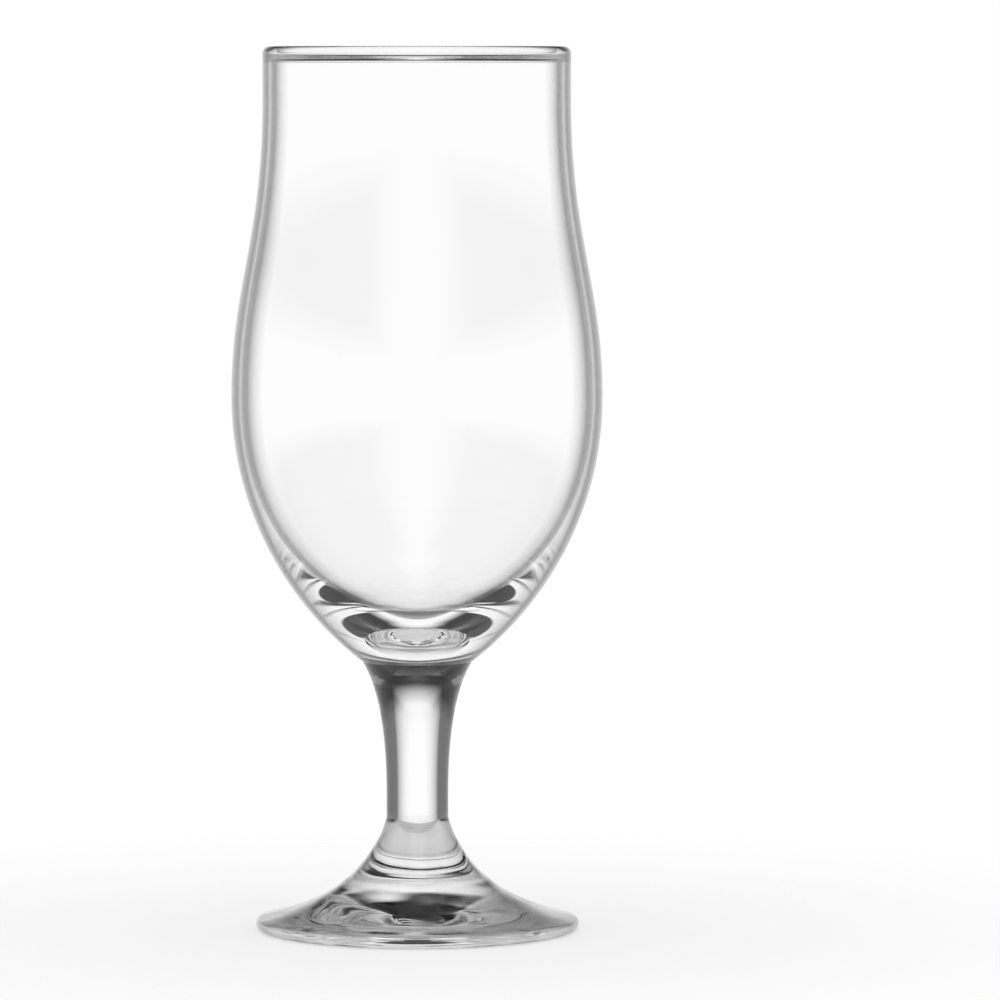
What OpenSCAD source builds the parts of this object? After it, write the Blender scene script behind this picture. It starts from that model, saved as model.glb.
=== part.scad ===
// Stemmed tulip beer glass: a blown bowl, a solid stem and a pressed foot, fused end to end while hot.
// Millimetres, +Z up. The origin is the centre of the ring that the foot stands on.

/* [Bowl] */
// Height of the bowl, from its fused base to the top of the rim
bowl_height = 139; // [125:1:160]
// Outside diameter at the rim and along the straight neck under it
rim_diameter = 69.6; // [60:0.1:78]
// Outside diameter at the belly
belly_diameter = 84; // [78:0.1:96]
// Height of the belly above the bowl's base
belly_rise = 60; // [50:1:75]
// Length of the straight neck, from the rim down
neck_length = 11.5; // [8:0.5:20]
// Wall thickness at the neck
neck_wall = 1.9; // [1.4:0.1:2.4]
// Wall thickness at the belly
belly_wall = 2.2; // [1.6:0.1:3.2]
// Thickness of the glass under the middle of the bowl
floor_thickness = 6; // [5:0.1:10]
// Thickness of the rounded bead along the rim
bead_thickness = 3.2; // [2.4:0.1:3.4]
// Length over which the bead runs out into the wall
bead_run = 2; // [2:0.1:5]
// Angle of the bowl's side to the upright where it leaves the stem
base_angle = 53; // [40:1:60]

/* [Stem] */
// Length of the stem between its two fused joints
stem_length = 35.5; // [24:0.5:50]
// Diameter of the stem's head and of the bowl's base that is fused to it
head_diameter = 25; // [20:0.1:30]
// Diameter of the shank and of the foot's hub that is fused to it
shank_diameter = 14; // [11:0.1:17]
// Length of the straight shank above the foot
shank_length = 5.5; // [1:0.5:10]
// Angle of the head's side to the upright where it meets the bowl
head_angle = 33; // [15:1:45]

/* [Foot] */
// Height of the foot, from the standing ring to the stem
foot_height = 25.5; // [20:0.5:34]
// Outside diameter of the foot
foot_diameter = 73.6; // [64:0.1:84]
// Thickness of the foot's rounded edge
edge_thickness = 2.8; // [2:0.1:4]
// Width of the flat ring that the glass stands on
ring_width = 4; // [2:0.1:8]
// Depth of the hollow under the foot
hollow_depth = 2.2; // [1:0.1:4]
// Angle of the hub's side to the upright where it meets the stem
hub_angle = 20; // [4:1:25]
// Slope of the disc's upper face at its edge
disc_slope = 13; // [6:1:20]

/* [Hidden] */

// Straight steps along each curve, each arc and round the axis
curve_steps = 48;
arc_steps = 24;
$fn = 128;

// Colour of the clear glass
glass_colour = "whitesmoke";
glass_opacity_share = 0.4;

// Lengths of the curves' handles, as shares of the rise or run that each curve spans
base_handle_share = 0.26;
side_handle_share = 0.5;
shoulder_handle_share = 0.37;
neck_handle_share = 0.47;
bead_handle_share = 0.5;
inner_side_handle_share = 0.72;
floor_handle_share = 0.3;
shank_handle_share = 0.5;
head_handle_share = 0.2;
hub_handle_share = 0.47;
disc_handle_share = 0.67;

// Radii that the outlines share
rim_r = rim_diameter / 2;
belly_r = belly_diameter / 2;
head_r = head_diameter / 2;
shank_r = shank_diameter / 2;
foot_r = foot_diameter / 2;
bead_r = bead_thickness / 2;
edge_r = edge_thickness / 2;

// Bowl, measured from its fused base
neck_z = bowl_height - neck_length;
bead_z = bowl_height - bead_r;
shoulder_rise = neck_z - belly_rise;
inner_neck_r = rim_r - neck_wall;
inner_belly_r = belly_r - belly_wall;
inner_rise = belly_rise - floor_thickness;

// Stem, measured from its lower joint
flare_rise = stem_length - shank_length;

// Foot, measured from the surface that it stands on
edge_centre = [foot_r - edge_r, edge_r];
edge_top = edge_centre + slant(edge_r, disc_slope);
ring_inner_r = edge_centre[0] - ring_width;
hollow_r = (ring_inner_r ^ 2 + hollow_depth ^ 2) / (2 * hollow_depth);
hollow_half_angle = asin(ring_inner_r / hollow_r);

// A step of the given length, at an angle to the upright
function slant(length, angle) = length * [sin(angle), cos(angle)];

// Points of a cubic curve from a to d with handles at b and c, without its first point
function curve(a, b, c, d) = [
    for (i = [1:curve_steps])
        let (t = i / curve_steps, s = 1 - t)
        s ^ 3 * a + 3 * s ^ 2 * t * b + 3 * s * t ^ 2 * c + t ^ 3 * d
];

// Points of an arc between two angles, with both ends
function arc(centre, radius, from, to) = [
    for (i = [0:arc_steps])
        let (angle = from + (to - from) * i / arc_steps)
        centre + radius * [cos(angle), sin(angle)]
];

// Outside of the bowl, from its base up to the end of the neck
function bowl_outside() = concat(
    [[head_r, 0]],
    curve(
        [head_r, 0],
        [head_r, 0] + slant(base_handle_share * belly_rise, base_angle),
        [belly_r, belly_rise * (1 - side_handle_share)],
        [belly_r, belly_rise]
    ),
    curve(
        [belly_r, belly_rise],
        [belly_r, belly_rise + shoulder_handle_share * shoulder_rise],
        [rim_r, neck_z - neck_handle_share * shoulder_rise],
        [rim_r, neck_z]
    )
);

// Rounded bead over the rim, run out into the inside of the neck
function rim_bead() = concat(
    arc([rim_r - bead_r, bead_z], bead_r, 0, 180),
    curve(
        [rim_r - bead_thickness, bead_z],
        [rim_r - bead_thickness, bead_z - bead_handle_share * bead_run],
        [inner_neck_r, bead_z - bead_run + bead_handle_share * bead_run],
        [inner_neck_r, bead_z - bead_run]
    )
);

// Inside of the bowl, from the end of the neck down to the middle of the floor
function bowl_inside() = concat(
    [[inner_neck_r, neck_z]],
    curve(
        [inner_neck_r, neck_z],
        [inner_neck_r, neck_z - neck_handle_share * shoulder_rise],
        [inner_belly_r, belly_rise + shoulder_handle_share * shoulder_rise],
        [inner_belly_r, belly_rise]
    ),
    curve(
        [inner_belly_r, belly_rise],
        [inner_belly_r, belly_rise - inner_side_handle_share * inner_rise],
        [floor_handle_share * inner_belly_r, floor_thickness],
        [0, floor_thickness]
    )
);

// Side of the stem, from its lower joint up to the bowl
function stem_side() = concat(
    [[shank_r, 0], [shank_r, shank_length]],
    curve(
        [shank_r, shank_length],
        [shank_r, shank_length + shank_handle_share * flare_rise],
        [head_r, stem_length] - slant(head_handle_share * flare_rise, head_angle),
        [head_r, stem_length]
    )
);

// Underside and rounded edge of the foot, from the middle of the hollow outwards
function foot_underside() = concat(
    arc([0, hollow_depth - hollow_r], hollow_r, 90, 90 - hollow_half_angle),
    arc(edge_centre, edge_r, -90, 90 - disc_slope)
);

// Upper face of the foot, from its edge up to the stem
function foot_top() = curve(
    edge_top,
    edge_top + slant(disc_handle_share * (edge_top[0] - shank_r), disc_slope - 90),
    [shank_r, foot_height] - slant(hub_handle_share * (foot_height - edge_top[1]), -hub_angle),
    [shank_r, foot_height]
);

module turned(outline) {
    color(glass_colour, glass_opacity_share)
        rotate_extrude()
            polygon(outline);
}

module bowl() {
    translate([0, 0, foot_height + stem_length])
        turned(concat([[0, 0]], bowl_outside(), rim_bead(), bowl_inside()));
}

module stem() {
    translate([0, 0, foot_height])
        turned(concat([[0, 0]], stem_side(), [[0, stem_length]]));
}

module foot() {
    turned(concat(foot_underside(), foot_top(), [[0, foot_height]]));
}

bowl();
stem();
foot();
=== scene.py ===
"""A stemmed tulip beer glass of clear glass, standing on a pale floor in soft studio light."""

import math

import bpy
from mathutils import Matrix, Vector, noise


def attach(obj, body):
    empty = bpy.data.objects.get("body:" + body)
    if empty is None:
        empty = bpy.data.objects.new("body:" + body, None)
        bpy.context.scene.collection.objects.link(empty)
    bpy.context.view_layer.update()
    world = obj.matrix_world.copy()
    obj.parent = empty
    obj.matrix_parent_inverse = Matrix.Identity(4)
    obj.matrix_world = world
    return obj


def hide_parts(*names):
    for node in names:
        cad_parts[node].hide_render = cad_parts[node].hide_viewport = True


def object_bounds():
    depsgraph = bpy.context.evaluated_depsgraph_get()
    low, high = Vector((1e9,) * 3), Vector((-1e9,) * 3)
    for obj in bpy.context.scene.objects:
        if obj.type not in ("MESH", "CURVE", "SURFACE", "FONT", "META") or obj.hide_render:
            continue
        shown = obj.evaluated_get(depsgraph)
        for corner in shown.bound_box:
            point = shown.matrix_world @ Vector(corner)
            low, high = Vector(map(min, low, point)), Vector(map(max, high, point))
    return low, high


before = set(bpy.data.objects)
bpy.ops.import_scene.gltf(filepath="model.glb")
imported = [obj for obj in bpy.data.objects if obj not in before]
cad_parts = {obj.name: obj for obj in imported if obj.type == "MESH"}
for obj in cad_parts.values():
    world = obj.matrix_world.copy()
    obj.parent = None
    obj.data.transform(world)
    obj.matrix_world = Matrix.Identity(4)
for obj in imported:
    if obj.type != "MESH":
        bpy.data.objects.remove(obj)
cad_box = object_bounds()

# Picture: pixel places are in the photograph's 1000 by 1000 frame
PICTURE_SIDE_PX = 1000
AXIS_COLUMN_PX = 417
BASE_ROW_PX = 932
RIM_ROW_PX = 46
CAMERA_DISTANCE = 1.54
SENSOR_WIDTH_MM = 36

# Turned meshes
TURN_STEPS = 208
LONGEST_STEP = 0.0012
SAME_POINT = 2e-6
GLASS_SLOT = 0
WELD_SLOT = 1
# Share of each radius that is kept: the CAD mesh has flat sides, and a rounder piece has to fit
# its box
ROUND_SHARE = 0.9995

# Glass. Its colour is darkened where it is seen at a slant: painted shade that stands in for the
# dark surroundings seen in glass edges, much stronger than the real loss of light on the longer way
# through the wall. An edge runs from where the glass starts to darken at a slant to where it has its
# painted edge shade: 0 is seen straight on, and 1 is seen along the surface
GLASS_IOR = 1.51
GLASS_CLEAR = 0.99
WAVE_DETAIL = 1
HAZE_SIZE = 0.012
HAZE_DETAIL = 3
HAZE_START = 0.45
HAZE_END = 0.75
# Each finish ends with its painted edge shade: the colour the glass is darkened to where it is seen
# along the surface
FINISHES = {
    "bowl": {
        "slot": "blown_glass", "wave_size": 0.03, "wave_stretch": 1, "wave_height": 0.00001,
        "haze": 0.015, "edge": (0.52, 0.74), "painted_edge_shade": 0.02,
    },
    "stem": {
        "slot": "drawn_glass", "wave_size": 0.003, "wave_stretch": 6, "wave_height": 0.000004,
        "haze": 0.015, "edge": (0.04, 0.25), "painted_edge_shade": 0.03,
    },
    "foot": {
        "slot": "pressed_glass", "wave_size": 0.004, "wave_stretch": 1, "wave_height": 0.000008,
        "haze": 0.25, "edge": (0.25, 0.7), "painted_edge_shade": 0.25,
    },
}
# Light runs far down inside the thin wall before it leaves, and with few bounces the rim turns black
GLASS_BOUNCES = 160
CLEAR_BOUNCES = 64

# Waves pressed into the foot
WAVE_SIZE = 0.009
TOP_WAVE_DEPTH = 0.0003
UNDER_WAVE_DEPTH = 0.0006
JOINT_FADE = 0.003
RING_FADE = 0.0006
RING_FLAT = 0.0001

# Studio. The floor lies a hair below the standing ring, because faces in one plane render black
FLOOR_RADIUS = 0.22
FLOOR_FADE_START = 0.25 * FLOOR_RADIUS
FLOOR_GAP = 0.0002
FLOOR_COLOUR = 0.95
FLOOR_ROUGHNESS = 0.9
FLOOR_RINGS = 24
FLOOR_STEPS = 96

# Dark hood above and round the glass, with a window behind the glass and an open front. It stays
# above the level of the glass, so that the bowl is clear from every side. Each pair holds the angle
# where the hood is clear and the one where it is dark, in degrees: azimuths from +Y, which is behind
# the glass, and elevations seen from the middle of the glass. HOOD_FLOOR_LIGHT is its brightness for
# light that has met the floor
HOOD_DISTANCE = 3
HOOD_STEP = 2
WINDOW_SIDE = 13, 28
WINDOW_TOP = 8, 20
HOOD_FRONT = 168, 144
HOOD_BOTTOM = 6, 14
HOOD_TOP = 82, 68
HOOD_BRIGHTNESS = 0.01
HOOD_FLOOR_LIGHT = 0.85


def outline_of(node):
    """The turned outline of a CAD node as (radius, height) points, from its lowest end on."""
    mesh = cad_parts[node].data
    points, at_cell, of_vertex = [], {}, []
    for v in mesh.vertices:
        point = math.hypot(v.co.x, v.co.y), v.co.z
        cell = tuple(round(c / SAME_POINT) for c in point)
        near = [(cell[0] + i, cell[1] + j) for i in (0, -1, 1) for j in (0, -1, 1)]
        found = next((at_cell[c] for c in near if c in at_cell), None)
        if found is None:
            found = at_cell[cell] = len(points)
            points.append(point)
        of_vertex.append(found)
    beside = [set() for _ in points]
    for e in mesh.edges:
        a, b = (of_vertex[i] for i in e.vertices)
        if a != b:
            beside[a].add(b)
            beside[b].add(a)
    ends = [i for i, s in enumerate(beside) if len(s) == 1]
    path = [min(ends, key=lambda i: (points[i][1], points[i][0]))]
    while True:
        onward = beside[path[-1]] - set(path[-2:])
        if not onward:
            return [(points[i][0] * ROUND_SHARE, points[i][1]) for i in path]
        path.append(min(onward))


def split_long(outline):
    """The outline with its long straight stretches cut into short steps."""
    out = [outline[0]]
    for a, b in zip(outline, outline[1:]):
        steps = max(1, math.ceil(math.dist(a, b) / LONGEST_STEP))
        for i in range(1, steps + 1):
            t = i / steps
            out.append((a[0] + (b[0] - a[0]) * t, a[1] + (b[1] - a[1]) * t))
    return out


def lathe(name, outline, glass, weld):
    """A closed turned piece. An end off the axis is closed by a flat fused face, which is clear."""
    verts, faces, slots, sharp = [], [], [], set()

    def ring(radius, height):
        start = len(verts)
        if radius < SAME_POINT:
            verts.append((0, 0, height))
            return [start] * TURN_STEPS
        for k in range(TURN_STEPS):
            turn = 2 * math.pi * k / TURN_STEPS
            verts.append((radius * math.cos(turn), radius * math.sin(turn), height))
        return list(range(start, start + TURN_STEPS))

    def skin(low, high, slot):
        for k in range(TURN_STEPS):
            n = (k + 1) % TURN_STEPS
            corners = dict.fromkeys((low[k], low[n], high[n], high[k]))
            faces.append(tuple(corners))
            slots.append(slot)

    rings = [ring(*p) for p in outline]
    for low, high in zip(rings, rings[1:]):
        skin(low, high, GLASS_SLOT)
    for end, first in ((0, True), (-1, False)):
        radius, height = outline[end]
        if radius >= SAME_POINT:
            middle = ring(0, height)
            edge = rings[end]
            if first:
                skin(middle, edge, WELD_SLOT)
            else:
                skin(edge, middle, WELD_SLOT)
            sharp |= {frozenset(pair) for pair in zip(edge, edge[1:] + edge[:1])}

    mesh = bpy.data.meshes.new(name)
    mesh.from_pydata(verts, [], faces)
    mesh.materials.append(glass)
    mesh.materials.append(weld)
    mesh.polygons.foreach_set("material_index", slots)
    mesh.shade_smooth()
    for e in mesh.edges:
        e.use_edge_sharp = frozenset(e.vertices) in sharp
    mesh.validate()
    mesh.update()
    piece = bpy.data.objects.new(name, mesh)
    bpy.context.scene.collection.objects.link(piece)
    return piece


def new_material(name):
    material = bpy.data.materials.new(name)
    material.use_nodes = True
    tree = material.node_tree
    return material, tree.nodes, tree.links, tree.nodes["Principled BSDF"]


def glass_material(slot, wave_size, wave_stretch, wave_height, haze, edge, painted_edge_shade):
    """Clear glass with faint waves, drawn out along the axis, and a haze that comes and goes.

    Its colour darkens where it is seen at a slant: painted shade for dark edges, much stronger than
    the real loss of light on the longer way through the glass.
    """
    material, nodes, links, shader = new_material(slot)
    slant = nodes.new("ShaderNodeLayerWeight")
    # Painted shade: the glass colour runs from clear to the painted edge shade as the glass turns to
    # a slant
    painted_slant_shade = nodes.new("ShaderNodeMapRange")
    painted_slant_shade.inputs["From Min"].default_value, painted_slant_shade.inputs["From Max"].default_value = edge
    painted_slant_shade.inputs["To Min"].default_value = GLASS_CLEAR
    painted_slant_shade.inputs["To Max"].default_value = painted_edge_shade
    links.new(slant.outputs["Facing"], painted_slant_shade.inputs["Value"])
    links.new(painted_slant_shade.outputs["Result"], shader.inputs["Base Color"])
    shader.inputs["Transmission Weight"].default_value = 1
    shader.inputs["IOR"].default_value = GLASS_IOR
    place = nodes.new("ShaderNodeTexCoord")
    stretch = nodes.new("ShaderNodeMapping")
    across, along = 1 / wave_size, 1 / (wave_size * wave_stretch)
    stretch.inputs["Scale"].default_value = across, across, along
    links.new(place.outputs["Object"], stretch.inputs["Vector"])
    waves = nodes.new("ShaderNodeTexNoise")
    waves.inputs["Scale"].default_value = 1
    waves.inputs["Detail"].default_value = WAVE_DETAIL
    links.new(stretch.outputs["Vector"], waves.inputs["Vector"])
    bump = nodes.new("ShaderNodeBump")
    bump.inputs["Strength"].default_value = 1
    bump.inputs["Distance"].default_value = wave_height
    links.new(waves.outputs["Fac"], bump.inputs["Height"])
    links.new(bump.outputs["Normal"], shader.inputs["Normal"])
    smears = nodes.new("ShaderNodeTexNoise")
    smears.inputs["Scale"].default_value = 1 / HAZE_SIZE
    smears.inputs["Detail"].default_value = HAZE_DETAIL
    links.new(place.outputs["Object"], smears.inputs["Vector"])
    hazy = nodes.new("ShaderNodeMapRange")
    hazy.inputs["From Min"].default_value = HAZE_START
    hazy.inputs["From Max"].default_value = HAZE_END
    hazy.inputs["To Max"].default_value = haze
    links.new(smears.outputs["Fac"], hazy.inputs["Value"])
    links.new(hazy.outputs["Result"], shader.inputs["Roughness"])
    return material


def weld_material():
    """A fused face inside the glass, which nothing shows of."""
    material, _, _, shader = new_material("weld")
    shader.inputs["Alpha"].default_value = 0
    return material


def white_world():
    world = bpy.data.worlds.new("studio")
    world.use_nodes = True
    world.node_tree.nodes["Background"].inputs["Color"].default_value = (1, 1, 1, 1)
    bpy.context.scene.world = world


def ramp(value, clear, dark):
    return max(0, min(1, (value - clear) / (dark - clear)))


def hood_cover(azimuth, elevation):
    """How far the hood hides the white behind it, from 0 to 1."""
    turn = abs(azimuth)
    window = max(ramp(turn, *WINDOW_SIDE), ramp(elevation, *WINDOW_TOP))
    height = min(ramp(elevation, *HOOD_BOTTOM), ramp(elevation, *HOOD_TOP))
    return min(window, ramp(turn, *HOOD_FRONT), height)


def hood_material():
    """White where the hood is clear and dark where it covers."""
    material, nodes, links, shader = new_material("hood")
    nodes.remove(shader)
    cover = nodes.new("ShaderNodeAttribute")
    cover.attribute_name = "cover"
    path = nodes.new("ShaderNodeLightPath")
    depth = nodes.new("ShaderNodeMapRange")
    depth.inputs["To Min"].default_value = 1 - HOOD_BRIGHTNESS
    depth.inputs["To Max"].default_value = 1 - HOOD_FLOOR_LIGHT
    links.new(path.outputs["Diffuse Depth"], depth.inputs["Value"])
    shade = nodes.new("ShaderNodeMath")
    shade.operation = "MULTIPLY"
    links.new(cover.outputs["Fac"], shade.inputs[0])
    links.new(depth.outputs["Result"], shade.inputs[1])
    level = nodes.new("ShaderNodeMath")
    level.operation = "SUBTRACT"
    level.inputs[0].default_value = 1
    links.new(shade.outputs["Value"], level.inputs[1])
    glow = nodes.new("ShaderNodeEmission")
    links.new(level.outputs["Value"], glow.inputs["Strength"])
    links.new(glow.outputs["Emission"], nodes["Material Output"].inputs["Surface"])
    return material


def hood():
    """A dark hood that is seen only in and through the glass."""
    columns = 2 * HOOD_FRONT[0] // HOOD_STEP
    rows = (HOOD_TOP[0] - HOOD_BOTTOM[0]) // HOOD_STEP
    middle = (cad_box[0].z + cad_box[1].z) / 2
    verts, cover, faces = [], [], []
    for i in range(rows + 1):
        elevation = HOOD_BOTTOM[0] + HOOD_STEP * i
        rise = math.radians(elevation)
        for k in range(columns + 1):
            azimuth = HOOD_STEP * k - HOOD_FRONT[0]
            turn = math.radians(azimuth)
            reach = HOOD_DISTANCE * math.cos(rise)
            height = middle + HOOD_DISTANCE * math.sin(rise)
            verts.append((reach * math.sin(turn), reach * math.cos(turn), height))
            cover.append(hood_cover(azimuth, elevation))
    for i in range(rows):
        for k in range(columns):
            a = i * (columns + 1) + k
            b = a + columns + 1
            corners = a, a + 1, b + 1, b
            if any(cover[c] for c in corners):
                faces.append(corners)
    mesh = bpy.data.meshes.new("hood")
    mesh.from_pydata(verts, [], faces)
    mesh.attributes.new("cover", "FLOAT", "POINT").data.foreach_set("value", cover)
    mesh.materials.append(hood_material())
    obj = bpy.data.objects.new("hood", mesh)
    obj.visible_camera = False
    obj.visible_diffuse = False
    obj.visible_shadow = False
    bpy.context.scene.collection.objects.link(obj)


def floor():
    """A pale round floor that fades out into the white around it."""
    verts, faces = [(0, 0, 0)], []
    for i in range(1, FLOOR_RINGS + 1):
        radius = FLOOR_RADIUS * i / FLOOR_RINGS
        for k in range(FLOOR_STEPS):
            turn = 2 * math.pi * k / FLOOR_STEPS
            verts.append((radius * math.cos(turn), radius * math.sin(turn), 0))
    for k in range(FLOOR_STEPS):
        n = (k + 1) % FLOOR_STEPS
        faces.append((0, 1 + k, 1 + n))
        for i in range(FLOOR_RINGS - 1):
            a, b = 1 + i * FLOOR_STEPS, 1 + (i + 1) * FLOOR_STEPS
            faces.append((a + k, b + k, b + n, a + n))
    mesh = bpy.data.meshes.new("floor")
    mesh.from_pydata(verts, [], faces)
    material, nodes, links, shader = new_material("floor")
    shader.inputs["Base Color"].default_value = FLOOR_COLOUR, FLOOR_COLOUR, FLOOR_COLOUR, 1
    shader.inputs["Roughness"].default_value = FLOOR_ROUGHNESS
    shader.inputs["Specular IOR Level"].default_value = 0
    place = nodes.new("ShaderNodeTexCoord")
    length = nodes.new("ShaderNodeVectorMath")
    length.operation = "LENGTH"
    links.new(place.outputs["Object"], length.inputs[0])
    fade = nodes.new("ShaderNodeMapRange")
    fade.interpolation_type = "SMOOTHSTEP"
    fade.inputs["From Min"].default_value = FLOOR_FADE_START
    fade.inputs["From Max"].default_value = FLOOR_RADIUS
    fade.inputs["To Min"].default_value = 1
    fade.inputs["To Max"].default_value = 0
    links.new(length.outputs["Value"], fade.inputs["Value"])
    links.new(fade.outputs["Result"], shader.inputs["Alpha"])
    mesh.materials.append(material)
    obj = bpy.data.objects.new("floor", mesh)
    obj.location.z = -FLOOR_GAP
    bpy.context.scene.collection.objects.link(obj)


def camera():
    """At the height of the rim, which the photograph sees edge-on, and framed as that is."""
    height = cad_box[1].z - cad_box[0].z
    pixel = height / (BASE_ROW_PX - RIM_ROW_PX)
    middle = PICTURE_SIDE_PX / 2
    aim = Vector(((middle - AXIS_COLUMN_PX) * pixel, 0, (BASE_ROW_PX - middle) * pixel))
    data = bpy.data.cameras.new("camera")
    data.sensor_width = SENSOR_WIDTH_MM
    data.lens = SENSOR_WIDTH_MM * CAMERA_DISTANCE / (PICTURE_SIDE_PX * pixel)
    eye = bpy.data.objects.new("camera", data)
    eye.location = (0, -CAMERA_DISTANCE, height)
    eye.rotation_euler = (aim - eye.location).to_track_quat("-Z", "Y").to_euler()
    bpy.context.scene.collection.objects.link(eye)
    bpy.context.scene.camera = eye


def press_waves(mesh, outline):
    """Sinks the upper face and the underside in shallow waves, but not the ring or the joint."""
    joint_height = outline[-1][1]
    ring_radius = min(radius for radius, height in outline if height < RING_FLAT)
    sunk = []
    for v in mesh.vertices:
        under = math.hypot(v.co.x, v.co.y) < ring_radius and v.normal.z < 0
        depth = UNDER_WAVE_DEPTH if under else TOP_WAVE_DEPTH
        room = min(1, (joint_height - v.co.z) / JOINT_FADE, (v.co.z - RING_FLAT) / RING_FADE)
        wave = (noise.noise(v.co / WAVE_SIZE) + 1) / 2
        sunk.append(v.co - v.normal * depth * max(0, room) * wave)
    for v, place in zip(mesh.vertices, sunk):
        v.co = place
    mesh.update()


def glass_pieces():
    weld = weld_material()
    for node, finish in FINISHES.items():
        outline = split_long(outline_of(node))
        piece = lathe("glass_" + node, outline, glass_material(**finish), weld)
        if node == "foot":
            press_waves(piece.data, outline)
        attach(piece, "root")
        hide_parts(node)


def render_settings():
    scene = bpy.context.scene
    scene.view_settings.view_transform = "Standard"
    scene.cycles.max_bounces = GLASS_BOUNCES
    scene.cycles.transmission_bounces = GLASS_BOUNCES
    scene.cycles.glossy_bounces = GLASS_BOUNCES
    scene.cycles.transparent_max_bounces = CLEAR_BOUNCES
    # Any blur would roughen the glass for light from the floor
    scene.cycles.blur_glossy = 0


camera()
glass_pieces()
floor()
hood()
white_world()
render_settings()
